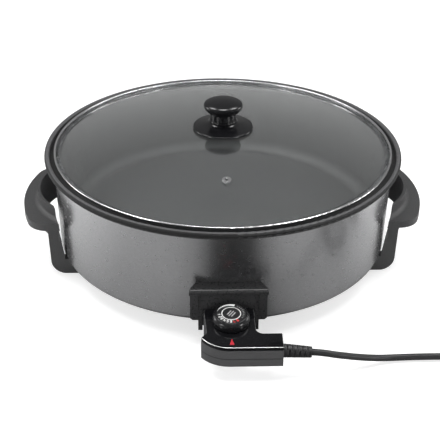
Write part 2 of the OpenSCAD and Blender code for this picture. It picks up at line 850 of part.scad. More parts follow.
module knob_insert() {
    color("goldenrod") translate([0, 0, knob_z]) difference() {
        cylinder(d = insert_d, h = insert_h);
        translate([0, 0, -1]) cylinder(d = knob_screw_d + 0.05, h = insert_h);
    }
}

module knob_screw() {
    head_low = glass_low - gasket_t - 1.1 - head_h;
    color("silver") {
        translate([0, 0, head_low]) cylinder(d = knob_screw_d * 2, h = head_h);
        translate([0, 0, head_low]) cylinder(d = knob_screw_d, h = knob_z + insert_h - 3 - head_low);
    }
}

module under_ring(d, bore, z, h) {
    translate([0, 0, z]) difference() {
        cylinder(d = d, h = h);
        translate([0, 0, -1]) cylinder(d = bore, h = h + 2);
    }
}

module knob_gasket() {
    color("dimgray") under_ring(washer_d + 2, knob_screw_d + 0.4, glass_low - gasket_t - 0.1, gasket_t);
}

module knob_washer() {
    color("silver") under_ring(washer_d, knob_screw_d + 0.4, glass_low - gasket_t - 1.1, 1);
}

// Thermostat
module plug_plan(inset = 0) {
    left = plug_left + inset;
    right = plug_right - inset;
    rear = plug_back + inset;
    front = plug_y - inset;
    arm_rear = arm_y + inset;
    arm_end = arm_x - inset;
    bend_x = plug_right + arm_fillet;
    bend_y = arm_y - arm_fillet;
    // the flare to the left runs on until it meets the round front corner
    turn = atan2(plug_bulge + plug_waist, flare_len);
    flare_x = left + plug_waist;
    flare_y = plug_y - corner_back - flare_len + inset * tan(turn / 2);
    flare_run = 2 * flare_len;
    rear_corner = max(rear_r - inset, 1);
    difference() {
        union() {
            polygon([
                [left, rear + rear_corner], [right, rear + rear_corner], [right, front], [corner_cx, front],
                [corner_cx, flare_y], [flare_x, flare_y]
            ]);
            translate([left + rear_corner, rear]) square([right - left - 2 * rear_corner, 2 * rear_corner]);
            for (x = [left + rear_corner, right - rear_corner])
                translate([x, rear + rear_corner]) circle(r = rear_corner);
            intersection() {
                translate([corner_cx, corner_cy]) circle(r = plug_corner - inset, $fn = 128);
                polygon([
                    [flare_x, flare_y - 1], [flare_x, flare_y],
                    [flare_x - flare_run * sin(turn), flare_y + flare_run * cos(turn)],
                    [corner_cx - plug_corner, plug_y], [corner_cx + 1, plug_y], [corner_cx + 1, flare_y - 1]
                ]);
            }
            translate([corner_cx, bend_y]) square([arm_end - corner_cx, front - bend_y]);
        }
        translate([bend_x, bend_y]) circle(r = arm_fillet + inset);
        translate([bend_x, bend_y - 5]) square([arm_end - bend_x + 5, arm_rear - bend_y + 5]);
    }
}

module deck_frame() {
    translate([0, plug_y, deck_z]) rotate([-deck_tilt, 0, 0]) children();
}

module below_deck(depth) {
    deck_frame() translate([-rim_r, -rim_r, -depth - rim_r]) cube([rim_d, rim_d, rim_r]);
}

module casing(z0, z1, floor_t) {
    difference() {
        translate([0, 0, z0]) linear_extrude(z1 - z0) plug_plan();
        translate([0, 0, z0 + floor_t - (floor_t > 0 ? 0 : 1)]) linear_extrude(z1 - z0 + 2) plug_plan(case_t);
    }
}

module nose_window() {
    translate([-nose_w / 2 - 0.2, plug_back - 1, pin_z - nose_h / 2 - 0.2])
        cube([nose_w + 0.4, rear_r + 2, nose_h + 0.4]);
}

module relief_hole() {
    translate([arm_x, cord_y, cord_z]) rotate([0, 90 + relief_droop, 0]) translate([0, 0, -case_t - 2])
        cylinder(d = relief_d - 3.6, h = case_t + 4);
}

module case_post_holes(d) {
    for (p = case_posts) translate([p.x, p.y, plug_low - 1]) cylinder(d = d, h = plug_h);
}

module plug_base() {
    color([0.2, 0.2, 0.21]) to_front() difference() {
        union() {
            casing(plug_low, seam_z, case_t);
            for (p = case_posts) translate([p.x, p.y, plug_low]) cylinder(d = post_d, h = lower_h);
        }
        nose_window();
        relief_hole();
        case_post_holes(case_screw_d + 0.4);
        for (p = case_posts) translate([p.x, p.y, plug_low - 1]) cylinder(d = case_screw_d * 2 + 0.4, h = 3);
    }
}

module plug_housing() {
    color([0.2, 0.2, 0.21]) to_front() difference() {
        intersection() {
            union() {
                casing(seam_z, deck_z + plug_h, 0);
                for (p = case_posts) translate([p.x, p.y, seam_z]) cylinder(d = post_d, h = 2 * plug_h);
            }
            below_deck(cover_t);
        }
        nose_window();
        relief_hole();
        case_post_holes(case_screw_d + 0.1);
    }
}

module lens_plan(grow) {
    half = lens_w / 2 + grow;
    near = lens_len / 2 + grow - lens_back;
    polygon([[-half, near], [half, near], [0, -lens_back - lens_len / 2 - 2 * grow]]);
}

module plug_cover() {
    color([0.03, 0.03, 0.035]) to_front() difference() {
        intersection() {
            translate([0, 0, seam_z]) linear_extrude(2 * plug_h) plug_plan();
            deck_frame() translate([-rim_r, -rim_r, -cover_t]) cube([rim_d, rim_d, cover_t]);
        }
        deck_frame() {
            translate([dial_x, -dial_back, -cover_t - 1]) cylinder(d = spindle_d + 2 * run, h = cover_t + 2);
            translate([lens_x, 0, -cover_t - 1]) linear_extrude(cover_t + 2) lens_plan(0.1);
        }
    }
}

module case_screws() {
    color("silver") to_front() for (p = case_posts) translate([p.x, p.y, plug_low + 0.2]) {
        cylinder(d = case_screw_d * 2, h = 1.8);
        cylinder(d = case_screw_d, h = lower_h + 5);
    }
}

module terminal_block() {
    color("saddlebrown") to_front() difference() {
        translate([-nose_w / 2, nose_y, pin_z - nose_h / 2]) cube([nose_w, block_end - nose_y, nose_h]);
        both_sides() rod_y(pin_x, pin_z, nose_y - 1, block_end + 1, receptacle_d + 0.1);
        rod_y(0, pin_z, nose_y - 1, block_end + 1, probe_d + 0.1);
    }
}

module pin_receptacles() {
    color("goldenrod") to_front() both_sides() difference() {
        rod_y(pin_x, pin_z, nose_y + 1, block_end + 4, receptacle_d);
        rod_y(pin_x, pin_z, nose_y, pin_end + 1, pin_d + 2 * run);
    }
}

module probe_rod() {
    color("lightgray") to_front() {
        rod_y(0, pin_z, probe_tip + probe_d / 2, block_end + 1.5, probe_d);
        translate([0, probe_tip + probe_d / 2, pin_z]) sphere(d = probe_d);
    }
}

module thermostat_frame() {
    plate_w = 26;
    plate_y0 = block_end;
    plate_y1 = dial_y + 9;
    color("silver") to_front() difference() {
        union() {
            translate([-plate_w / 2, plate_y0, frame_z]) cube([plate_w, plate_y1 - plate_y0, frame_t]);
            translate([-plate_w / 2, plate_y0, frame_z - 6]) cube([plate_w, frame_t, 6 + eps]);
        }
        rod_y(0, pin_z, plate_y0 - 1, plate_y0 + 9, probe_d + 0.4);
        both_sides() rod_y(pin_x, pin_z, plate_y0 - 1, plate_y0 + 9, receptacle_d + 1);
        deck_frame() translate([dial_x, -dial_back, -plug_h])
            cylinder(d = spindle_d + 2 * run, h = 2 * plug_h);
    }
}

module contact_leaves() {
    color("goldenrod") to_front() for (k = [0, 1])
        translate([-leaf_x - leaf_w / 2, leaf_y, leaf_z - leaf_t - k * (spacer_t + leaf_t)])
            cube([leaf_w, leaf_len - 4 * k, leaf_t]);
}

module leaf_spacers() {
    color("ivory") to_front() for (k = [0, 1])
        translate([-leaf_x - leaf_w / 2, leaf_y, leaf_z - k * (spacer_t + leaf_t)])
            cube([leaf_w, 6, spacer_t]);
}

module pilot_lens() {
    color("red") to_front() deck_frame() translate([lens_x, 0, -cover_t])
        linear_extrude(cover_t + 0.3) lens_plan(0);
}

module pilot_lamp() {
    color("orange") to_front() deck_frame() translate([lens_x, -lens_back, -cover_t - 0.2]) {
        translate([-5, 0, -2.6]) rotate([0, 90, 0]) cylinder(d = 5, h = 10);
        translate([-7, -1, -2.8]) cube([2.1, 2, 0.8]);
    }
}

module cord_clamp() {
    color("dimgray") to_front() difference() {
        translate([arm_x - clamp_in, arm_y + case_t + 0.2, plug_low + case_t])
            cube([clamp_len, arm_w - 2 * case_t - 0.4, clamp_len]);
        translate([arm_x - clamp_in - 1, cord_y, cord_z + 2]) rotate([0, 90, 0])
            cylinder(d = cord_d, h = clamp_len + 2);
    }
}

module strain_relief() {
    ribs = 10;
    collar = 3;
    step = (relief_len - collar) / ribs;
    end_d = relief_d - 2.7;
    core_d = cord_d + 2.4;
    seat = relief_d / 2 * sin(relief_droop) + 0.15;
    color([0.1, 0.1, 0.11]) translate(relief_at) rotate([0, 90 + relief_droop, 0]) difference() {
        rotate_extrude($fn = 48) polygon([
            [0, -case_t - 1], [relief_d / 2 - 2, -case_t - 1], [relief_d / 2 - 2, seat], [relief_d / 2, seat],
            [relief_d / 2, collar], [end_d / 2, relief_len], [0, relief_len]
        ]);
        // slots from two sides, turned by a quarter from one to the next
        for (k = [0:ribs - 1]) rotate(90 * k) for (x = [core_d / 2, -core_d / 2 - relief_d])
            translate([x, -relief_d, collar + k * step]) cube([relief_d, 2 * relief_d, step / 2]);
    }
}

module supply_cord() {
    color([0.08, 0.08, 0.09]) tube(cord_path, cord_d / 2, cord_sides);
}

module cord_coil() {
    color([0.08, 0.08, 0.09]) tube(coil_path, cord_d / 2, coil_sides);
}

module coil_tie() {
    turn = 0.6;
    inner_x = coil_r - coil_pitch * 2.4 - cord_d / 2;
    outer_x = coil_r + cord_d / 2 + turn_gap;
    top_z = coil_z2 + cord_d / 2 + 0.3;
    color("dimgray") translate([coil_at.x, coil_at.y, 0]) rotate(90 + 360 * turn) translate([0, tie_w / 2, 0])
        rotate([90, 0, 0]) linear_extrude(tie_w) difference() {
            translate([inner_x - tie_t, 0.05]) square([outer_x - inner_x + 2 * tie_t, top_z + tie_t - 0.05]);
            translate([inner_x, coil_low - 0.05]) square([outer_x - inner_x, top_z - coil_low + 0.05]);
        }
}

module mains_frame() {
    translate(coil_end) rotate([-90 + mains_tilt, 0, 0]) children();
}

module mains_plug() {
    face_r = mains_d / 2;
    body_r = face_r - 3;
    body_z = mains_boot;
    face_z = body_z + mains_len;
    color([0.08, 0.08, 0.09]) mains_frame() difference() {
        rotate_extrude($fn = 96) polygon([
            [0, 0], [cord_d / 2 + 1.2, 0], [cord_d / 2 + 3, body_z - 2], [body_r - 5, body_z + 2],
            [body_r - 3, body_z + mains_neck], [body_r, body_z + mains_shoulder],
            [face_r, body_z + mains_collar], [face_r, face_z], [0, face_z]
        ]);
        for (s = [-1, 1]) translate([-4, s * face_r - 3, body_z + 16]) cube([8, 6, mains_len]);
    }
}

module mains_pins() {
    color("silver") mains_frame() for (s = [-1, 1])
        translate([s * 9.5, 0, mains_boot + mains_len]) {
            cylinder(d = 4.8, h = 17);
            translate([0, 0, 17 - eps]) cylinder(d1 = 4.8, d2 = 3, h = 2);
        }
}

module mains_earth_clips() {
    depth = mains_d / 2 - 3;
    color("silver") mains_frame() for (s = [-1, 1])
        translate([-3, s > 0 ? depth : -depth - 1, mains_boot + 17]) cube([6, 1, mains_len - 18]);
}

// Dial
module dial_frame() {
    to_front() deck_frame() translate([dial_x, -dial_back, 0]) children();
}

module dial_knob() {
    skirt_r = dial_d / 2;
    face_r = dial_face / 2;
    skirt_h = 3;
    color([0.04, 0.04, 0.045]) dial_frame() difference() {
        rotate_extrude($fn = 96) polygon(concat(
            [[0, dial_low], [skirt_r - 0.6, dial_low], [skirt_r, dial_low + 0.8], [skirt_r, skirt_h]],
            [for (a = [15:15:75])
                [face_r + (skirt_r - face_r) * cos(a), skirt_h + (dial_h - skirt_h - 0.8) * sin(a)]],
            [[face_r, dial_h - 0.4], [face_r - 0.6, dial_h], [0, dial_h]]
        ));
        translate([0, 0, dial_low - 1]) rotate_extrude($fn = 96)
            translate([spindle_d / 2 + 2, 0]) square([face_r - spindle_d / 2 - 4, dial_h - dial_low - 2]);
        translate([0, 0, dial_low - 1]) cylinder(d = spindle_d + 0.05, h = dial_h - 3);
        translate([0, 0, dial_h - dial_disc_t]) cylinder(d = dial_face - 2.4, h = dial_disc_t + 1);
    }
}

module dial_disc() {
    color("whitesmoke") dial_frame() translate([0, 0, dial_h - dial_disc_t])
        cylinder(d = dial_face - 2.6, h = dial_disc_t - 0.1);
}

module dial_spindle() {
    color("silver") dial_frame() translate([0, 0, -spindle_low])
        cylinder(d = spindle_d, h = spindle_low + dial_h - 3 + dial_low - 1);
}

inner_pan();
outer_jacket();
heat_plate();
heating_element();
element_clips();
terminal_pins();
terminal_bushes();
probe_sleeve();
center_stud();
center_nut();
socket_guard();
guard_screws();
left_handle();
right_handle();
handle_screws();
handle_nuts();
lid_glass();
lid_band();
vent_eyelet();
knob_disc();
lid_knob();
knob_insert();
knob_screw();
knob_washer();
knob_gasket();
plug_cover();
plug_housing();
plug_base();
case_screws();
terminal_block();
pin_receptacles();
probe_rod();
thermostat_frame();
contact_leaves();
leaf_spacers();
pilot_lens();
pilot_lamp();
cord_clamp();
strain_relief();
supply_cord();
cord_coil();
coil_tie();
mains_plug();
mains_pins();
mains_earth_clips();
dial_knob();
dial_disc();
dial_spindle();
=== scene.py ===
import json
import math

import bpy
from mathutils import Matrix, Vector


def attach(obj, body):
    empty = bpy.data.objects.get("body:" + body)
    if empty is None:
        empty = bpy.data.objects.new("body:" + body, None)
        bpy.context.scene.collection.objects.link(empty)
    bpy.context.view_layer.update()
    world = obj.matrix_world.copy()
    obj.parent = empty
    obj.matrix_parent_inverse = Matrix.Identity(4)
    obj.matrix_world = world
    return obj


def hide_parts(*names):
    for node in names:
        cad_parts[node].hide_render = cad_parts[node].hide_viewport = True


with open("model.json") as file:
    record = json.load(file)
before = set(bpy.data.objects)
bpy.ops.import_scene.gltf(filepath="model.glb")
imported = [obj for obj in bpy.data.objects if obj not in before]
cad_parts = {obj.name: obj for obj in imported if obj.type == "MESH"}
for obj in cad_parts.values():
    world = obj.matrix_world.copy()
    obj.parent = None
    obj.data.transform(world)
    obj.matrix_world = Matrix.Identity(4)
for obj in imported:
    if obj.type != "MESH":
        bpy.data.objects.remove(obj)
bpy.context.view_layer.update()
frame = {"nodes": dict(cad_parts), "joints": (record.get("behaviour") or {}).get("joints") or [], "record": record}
nodes = frame["nodes"]
scene = bpy.context.scene
scene.view_settings.view_transform = "Standard"

# Camera, fitted to the rim, the base and the plug of the photograph
AZIMUTH, ELEVATION, ROLL = math.radians(2.0), math.radians(29.63), math.radians(0.47)
SENSOR_MM, LENS_MM, DISTANCE = 36, 88.35, 1.3
AIM_RIGHT, AIM_UP = -0.0026, 0.0339
right_axis = Vector((math.cos(AZIMUTH), -math.sin(AZIMUTH), 0))
ahead = Vector((math.sin(AZIMUTH), math.cos(AZIMUTH), 0))
look = ahead * math.cos(ELEVATION) - Vector((0, 0, math.sin(ELEVATION)))
up_axis = ahead * math.sin(ELEVATION) + Vector((0, 0, math.cos(ELEVATION)))
cam_x = right_axis * math.cos(ROLL) + up_axis * math.sin(ROLL)
cam_y = up_axis * math.cos(ROLL) - right_axis * math.sin(ROLL)
camera_data = bpy.data.cameras.new("camera")
camera_data.sensor_width = SENSOR_MM
camera_data.lens = LENS_MM
camera = bpy.data.objects.new("camera", camera_data)
scene.collection.objects.link(camera)
target = right_axis * AIM_RIGHT + Vector((0, 0, AIM_UP))
place = target - look * DISTANCE
turn = Matrix((cam_x, cam_y, -look)).transposed().to_4x4()
camera.matrix_world = Matrix.Translation(place) @ turn
scene.camera = camera


# Mesh helpers
def new_object(name, verts, faces, body):
    """A smooth mesh of its own, riding on a body."""
    mesh = bpy.data.meshes.new(name)
    mesh.from_pydata([tuple(v) for v in verts], [], faces)
    mesh.validate()
    for p in mesh.polygons:
        p.use_smooth = True
    obj = bpy.data.objects.new(name, mesh)
    scene.collection.objects.link(obj)
    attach(obj, body)
    return obj


def tube_mesh(path, radius, sides):
    """A closed round tube along a path that is never upright."""
    verts, faces = [], []
    last = len(path) - 1
    for i, p in enumerate(path):
        way = (path[min(i + 1, last)] - path[max(i - 1, 0)]).normalized()
        side = way.cross(Vector((0, 0, 1))).normalized()
        lift = side.cross(way)
        for k in range(sides):
            a = 2 * math.pi * k / sides
            verts.append(p + radius * (math.cos(a) * side + math.sin(a) * lift))
    for i in range(last):
        for k in range(sides):
            a, b = i * sides + k, i * sides + (k + 1) % sides
            faces.append((a, b, b + sides, a + sides))
    faces.append(tuple(reversed(range(sides))))
    faces.append(tuple(range(last * sides, (last + 1) * sides)))
    return verts, faces


def smooth_path(points, steps):
    """A curve through all points, with its slopes taken from their neighbours."""
    made = []
    for i in range(len(points) - 1):
        p0, p1 = points[max(i - 1, 0)], points[i]
        p2, p3 = points[i + 1], points[min(i + 2, len(points) - 1)]
        for k in range(steps):
            t = k / steps
            bend = (2 * p0 - 5 * p1 + 4 * p2 - p3) * t * t
            made.append(0.5 * (2 * p1 + (p2 - p0) * t + bend
                               + (3 * p1 - p0 - 3 * p2 + p3) * t ** 3))
    made.append(points[-1])
    return made


# Cord: the route and the coil of the part's source, in metres
CORD_R, CORD_SIDES, LEAD_STEPS = 0.0035, 16, 5
RELIEF_AT, RELIEF_L, DROOP = Vector((0.0524, -0.25702, 0.0295)), 0.029, math.radians(5)
ROUTE_MM = (
    (96, -257, 25.2), (107, -256.3, 22.6), (118, -253, 18.5), (130, -249, 14), (143, -244.5, 9.5),
    (156, -241, 6.4), (170, -238.5, 4.8), (186, -237.3, 4.4), (204, -237, 4.4), (222, -237, 4.4),
    (240, -237, 4.4), (258, -237, 4.4))
COIL_X, COIL_Y, COIL_R, PITCH, TURNS = 0.284, -0.192, 0.045, 0.0076, 1.875
CROSSING = 0.5
TOTAL = 2 * TURNS + CROSSING
COIL_STEPS = 48
LOW_Z = 0.0044
STUB = 0.007
TAIL_RISE, TAIL_BENDS = 6.5, 3


def coil_point(t):
    """The cord winds in on the floor, climbs its own thickness and winds out again."""
    r = COIL_R - PITCH * (t if t < TURNS + CROSSING / 2 else TOTAL - t)
    climb = min(max((t - TURNS) / CROSSING, 0), 1)
    a = math.radians(360 * t - 90)
    return Vector((COIL_X + r * math.cos(a), COIL_Y + r * math.sin(a), LOW_Z + PITCH * climb))


relief_way = Vector((math.cos(DROOP), 0, -math.sin(DROOP)))
relief_end = RELIEF_AT + relief_way * RELIEF_L
coil_start = Vector((COIL_X - STUB, COIL_Y - COIL_R, LOW_Z))
route = [Vector(p) / 1000 for p in ROUTE_MM]
lead = [relief_end, relief_end + relief_way * STUB] + route + [coil_start]
spiral = [coil_point(k / COIL_STEPS) for k in range(int(COIL_STEPS * TOTAL) + 1)]
tail = [spiral[-1]]
for k in (1, 2, TAIL_BENDS, TAIL_BENDS):
    a = math.radians(TAIL_RISE * k / TAIL_BENDS)
    tail.append(tail[-1] + Vector((0, math.cos(a), math.sin(a))) * STUB)
cord_path = smooth_path(lead, LEAD_STEPS) + spiral + tail[1:]
cord = new_object("mains_cord", *tube_mesh(cord_path, CORD_R, CORD_SIDES), "thermostat")
# the photograph shows no cord in the pan's wall
cord.visible_glossy = False
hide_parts("supply_cord", "cord_coil")


# Materials
class Tree:
    """The node tree of a material, a lamp or the world, with short ways to fill it."""

    def __init__(self, owner):
        owner.use_nodes = True
        self.tree = owner.node_tree
        self.tree.nodes.clear()

    def put(self, socket, value):
        """Give a socket a plain value, or the output of another node."""
        if isinstance(value, bpy.types.NodeSocket):
            self.tree.links.new(value, socket)
        else:
            socket.default_value = value

    def add(self, kind, *values, **settings):
        """A new node with its settings and its first inputs."""
        made = self.tree.nodes.new("ShaderNode" + kind)
        for key, value in settings.items():
            setattr(made, key, value)
        for socket, value in zip(made.inputs, values):
            self.put(socket, value)
        return made

    def calc(self, operation, *values):
        return self.add("Math", *values, operation=operation).outputs[0]

    def measure(self, operation, *vectors):
        """A number from vectors: a length or a distance."""
        return self.add("VectorMath", *vectors, operation=operation).outputs["Value"]

    def scaled(self, vector, factor):
        made = self.add("VectorMath", vector, operation="SCALE")
        self.put(made.inputs["Scale"], factor)
        return made.outputs[0]

    def axes(self, vector):
        return self.add("SeparateXYZ", vector).outputs

    def spread(self, source, low, high, at_low=0.0, at_high=1.0, **settings):
        """A number taken from one range to another and held at its ends."""
        return self.add("MapRange", source, low, high, at_low, at_high, **settings).outputs[0]

    def ramp(self, source, stops):
        """Colours over a number from 0 to 1."""
        made = self.add("ValToRGB", source)
        elements = made.color_ramp.elements
        while len(elements) < len(stops):
            elements.new(0.5)
        for e, (at, color) in zip(elements, stops):
            e.position = at
            e.color = (*color, 1)
        return made.outputs[0]

    def greys(self, source, stops):
        return self.ramp(source, [(at, [tone] * 3) for at, tone in stops])

    def blend(self, share, a, b):
        """Two numbers mixed by a share."""
        made = self.add("Mix", share, data_type="FLOAT")
        self.put(made.inputs[2], a)
        self.put(made.inputs[3], b)
        return made.outputs[0]

    def blend_colors(self, share, a, b):
        made = self.add("Mix", share, data_type="RGBA")
        self.put(made.inputs[6], a)
        self.put(made.inputs[7], b)
        return made.outputs[2]

    def choose(self, share, a, b):
        """One shader or another, by a share."""
        return self.add("MixShader", share, a, b).outputs[0]

    def seen_as(self, others, straight):
        """A shader for the camera and for sight through glass, and one for all other rays."""
        rays = self.add("LightPath").outputs
        seen = self.calc("MAXIMUM", rays["Is Camera Ray"], rays["Is Transmission Ray"])
        return self.choose(seen, others, straight)


NOISE_LOW, NOISE_HIGH, NOISE_DETAIL = 0.3, 0.7, 4
ROUGH_GRAIN = 0.35


class Shade(Tree):
    """A procedural material: a principled shader with noise on colour, roughness and height."""

    def __init__(self, name, color, rough, metal=0.0, grain=400, vary=0.1, rough_vary=0.06,
                 bump=0.1, depth=0.0002, bump_grain=None, stretch=(1, 1, 1), **sockets):
        self.material = bpy.data.materials.new(name)
        super().__init__(self.material)
        self.bsdf = self.add("BsdfPrincipled")
        self.out = self.add("OutputMaterial", self.bsdf.outputs[0])
        self.set("Metallic", metal)
        for key, value in sockets.items():
            self.set(key.replace("_", " "), value)
        mapping = self.add("Mapping", self.add("TexCoord").outputs["Object"])
        mapping.inputs["Scale"].default_value = stretch
        self.coords = mapping.outputs[0]
        self.color = self.ramp(self.noise(grain), [
            (NOISE_LOW, [c * (1 - vary) for c in color]),
            (NOISE_HIGH, [min(c * (1 + vary), 1) for c in color])])
        self.set("Base Color", self.color)
        self.rough = self.spread(self.noise(grain * ROUGH_GRAIN), NOISE_LOW, NOISE_HIGH,
                                 max(rough - rough_vary, 0.0), rough + rough_vary)
        self.set("Roughness", self.rough)
        if bump:
            relief = self.add("Bump")
            relief.inputs["Strength"].default_value = bump
            relief.inputs["Distance"].default_value = depth
            self.put(relief.inputs["Height"], self.noise(bump_grain or grain))
            self.set("Normal", relief.outputs[0])

    def set(self, socket, value):
        self.put(self.bsdf.inputs[socket], value)

    def noise(self, scale):
        made = self.add("TexNoise", self.coords)
        made.inputs["Scale"].default_value = scale
        made.inputs["Detail"].default_value = NOISE_DETAIL
        return made.outputs[0]


LOOKS = {
    "nonstick": dict(color=(0.03, 0.03, 0.031), rough=0.44, grain=900, vary=0.25, bump=0.12),
    "hammertone": dict(color=(0.5, 0.502, 0.51), rough=0.25, metal=1, grain=340, vary=0.07,
                       rough_vary=0.03, depth=0.00006, bump_grain=420, stretch=(1, 1, 2.2)),
    "aluminium": dict(color=(0.62, 0.62, 0.64), rough=0.35, metal=1, grain=300, bump=0.05),
    "steel": dict(color=(0.55, 0.55, 0.57), rough=0.3, metal=1, grain=500, bump=0.05),
    "bright_steel": dict(color=(0.78, 0.78, 0.79), rough=0.22, metal=1, grain=350, vary=0.05,
                         rough_vary=0.04, bump=0.02, stretch=(1, 1, 6)),
    "brass": dict(color=(0.72, 0.55, 0.26), rough=0.28, metal=1, bump=0.04),
    "ceramic": dict(color=(0.8, 0.77, 0.7), rough=0.45, grain=500, vary=0.04, bump=0.05),
    "handle_plastic": dict(color=(0.052, 0.052, 0.053), rough=0.5, grain=1400, vary=0.14,
                           bump=0.3, depth=0.00025, bump_grain=1800),
    "guard_plastic": dict(color=(0.03, 0.03, 0.031), rough=0.3, grain=1200, vary=0.15,
                          bump=0.04, depth=0.0001),
    "knob_plastic": dict(color=(0.006, 0.006, 0.007), rough=0.18, grain=200, vary=0.2,
                         rough_vary=0.04, bump=0.02),
    "silicone": dict(color=(0.12, 0.12, 0.12), rough=0.6, grain=600),
    "gloss_cover": dict(color=(0.006, 0.006, 0.007), rough=0.1, grain=160, vary=0.2,
                        rough_vary=0.03, bump=0.015),
    "case_plastic": dict(color=(0.068, 0.068, 0.07), rough=0.42, grain=1400, vary=0.12,
                         bump=0.22, bump_grain=1700),
    "phenolic": dict(color=(0.09, 0.045, 0.025), rough=0.5, grain=900, vary=0.3),
    "red_lens": dict(color=(0.5, 0.03, 0.045), rough=0.16, grain=700, bump=0.04,
                     Coat_Weight=0.4),
    "lamp_glass": dict(color=(0.75, 0.4, 0.2), rough=0.12, grain=300, bump=0.02,
                       Transmission_Weight=0.6),
    "dial_plastic": dict(color=(0.007, 0.007, 0.008), rough=0.24, grain=900, vary=0.15,
                         bump=0.08, depth=0.0001),
    "dial_print": dict(color=(0.013, 0.013, 0.014), rough=0.33, grain=900, vary=0.12, bump=0.05),
    "cord_rubber": dict(color=(0.017, 0.017, 0.018), rough=0.4, grain=900, vary=0.15, bump=0.12),
    "glass": dict(color=(0.93, 0.955, 0.95), rough=0.012, grain=30, vary=0.01, rough_vary=0.01,
                  bump=0, Transmission_Weight=1.0, IOR=1.47),
    "white_print": dict(color=(0.8, 0.8, 0.79), rough=0.45, grain=1500, vary=0.05, bump=0.03),
    "red_print": dict(color=(0.7, 0.05, 0.05), rough=0.45, grain=1500, vary=0.08, bump=0.03),
    "grey_print": dict(color=(0.4, 0.4, 0.4), rough=0.45, grain=1500, vary=0.08, bump=0.03),
}
shades = {name: Shade(name, **settings) for name, settings in LOOKS.items()}

# The glass casts no dark shadow
glass = shades["glass"]
shadow_ray = glass.add("LightPath").outputs["Is Shadow Ray"]
clear = glass.add("BsdfTransparent").outputs[0]
glass.put(glass.out.inputs[0], glass.choose(shadow_ray, glass.bsdf.outputs[0], clear))

# The rim's colour is painted with light and shade: its groove is painted darker as shade, its bead's top painted
# lighter as light falling on it, and its outer side painted darker and made rougher
BAND_R, RIM_R, SEAT_Z = 0.1935, 0.205, 0.129
RIM_BELOW, RIM_FROM = 0.0012, 0.0006
TOP_PAINTED_LIGHT = 2.6
RIM_PAINTED_LIGHT_SHADE = ((0.0, 1.0), (0.08, 0.1), (0.44, 0.1), (0.54, TOP_PAINTED_LIGHT), (0.84, TOP_PAINTED_LIGHT), (0.9, 0.3))
DULL_FROM, DULL_TO, DULL_ROUGH = 0.75, 0.88, 0.3
rim = shades["nonstick"]
level = rim.add("VectorMath", rim.coords, (1, 1, 0), operation="MULTIPLY").outputs[0]
on_rim = rim.spread(rim.axes(rim.coords)[2], SEAT_Z - RIM_BELOW, SEAT_Z - RIM_FROM)
along_rim = rim.spread(rim.measure("LENGTH", level), BAND_R, RIM_R)
rim_share = rim.greys(along_rim, [(at, tone / TOP_PAINTED_LIGHT) for at, tone in RIM_PAINTED_LIGHT_SHADE])
# painted light and shade: the rim's colour scaled darker in the groove and on the outer side, lighter on the
# bead's top
rim_painted_light_shade = rim.blend(on_rim, 1.0, rim.spread(rim_share, 0.0, 1.0, 0.0, TOP_PAINTED_LIGHT))
rim.set("Base Color", rim.scaled(rim.color, rim_painted_light_shade))
outer_side = rim.spread(along_rim, DULL_FROM, DULL_TO, 0.0, DULL_ROUGH)
rim.set("Roughness", rim.calc("ADD", rim.rough, rim.calc("MULTIPLY", outer_side, on_rim)))

# The case has a fine dark line where its two halves meet
SEAM_Z, SEAM_HALF, SEAM_FADE, SEAM_TONE = 0.027, 0.0002, 0.0007, 0.35
case = shades["case_plastic"]
off_seam = case.calc("ABSOLUTE", case.calc("SUBTRACT", case.axes(case.coords)[2], SEAM_Z))
seam_tone = case.spread(off_seam, SEAM_HALF, SEAM_FADE, SEAM_TONE, 1.0)
case.set("Base Color", case.scaled(case.color, seam_tone))

# A painted highlight: the cover's rounded edge is made white metal at the front and a little at its other sides,
# standing in for the highlight along it
EDGE_LEAN = ((0.6, 0), (0.68, 1), (0.955, 1), (0.985, 0))
FRONT_FROM, FRONT_TO, OTHER_SIDES = -0.25, -0.1, 0.12
LENS_Y, LENS_Z, LENS_ROOM = -0.2545, 0.04, 0.0095
EDGE_HIGHLIGHT_COLOR, EDGE_ROUGH = (0.95, 0.95, 0.95, 1), 0.3
dial_joint = [j for j in frame["joints"] if j["name"] == "dial_turn"][0]
dial_at = Vector(dial_joint["pos_m"])
cover = shades["gloss_cover"]
facing = cover.axes(cover.add("NewGeometry").outputs["Normal"])
lean = cover.greys(facing[2], EDGE_LEAN)
to_front = cover.spread(facing[1], FRONT_FROM, FRONT_TO, 1.0, OTHER_SIDES)
off_lens = cover.measure("DISTANCE", cover.coords, (dial_at.x, LENS_Y, LENS_Z))
edge = cover.calc("MULTIPLY", cover.calc("MULTIPLY", lean, to_front),
                  cover.calc("GREATER_THAN", off_lens, LENS_ROOM))
# the painted highlight: white metal where the edge mask is set
cover.set("Metallic", edge)
cover.set("Base Color", cover.blend_colors(edge, cover.color, EDGE_HIGHLIGHT_COLOR))
cover.set("Roughness", cover.blend(edge, cover.rough, EDGE_ROUGH))

for row in frame["record"]["subparts"]:
    node = nodes[row["node"]]
    node.data.materials.clear()
    node.data.materials.append(shades[row["material_slot"]].material)
cord.data.materials.append(shades["cord_rubber"].material)

